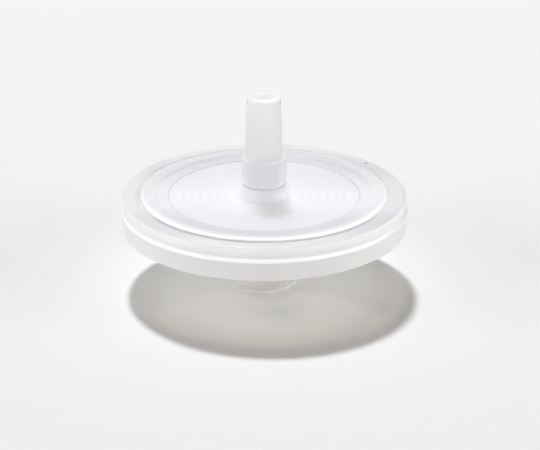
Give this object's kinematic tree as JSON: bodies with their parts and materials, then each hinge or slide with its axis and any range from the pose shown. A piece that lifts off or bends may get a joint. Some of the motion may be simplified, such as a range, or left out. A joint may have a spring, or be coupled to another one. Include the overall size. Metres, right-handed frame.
{
  "type": "syringe filter",
  "caption": "Sealed disc filter for a syringe: a thin membrane between two welded plastic housings, with a tapered outlet tip above and a locking luer inlet port below.",
  "frame": {"origin": "the centre of the inlet port's mouth, on the surface the filter stands on", "axes": "+Z runs along the flow axis from the inlet port to the outlet tip; the part is turned about +Z so that the side seen from the front faces -Y"},
  "size_m": [0.0342, 0.0342, 0.0237],
  "materials": {
    "housing": "translucent natural polypropylene, smooth",
    "ring": "translucent natural polypropylene, smooth",
    "membrane": "white porous film"
  },
  "bodies": {
    "root": {"outlet_housing": "housing", "membrane": "membrane", "inlet_housing": "housing", "sealing_ring": "ring"}
  },
  "joints": []
}
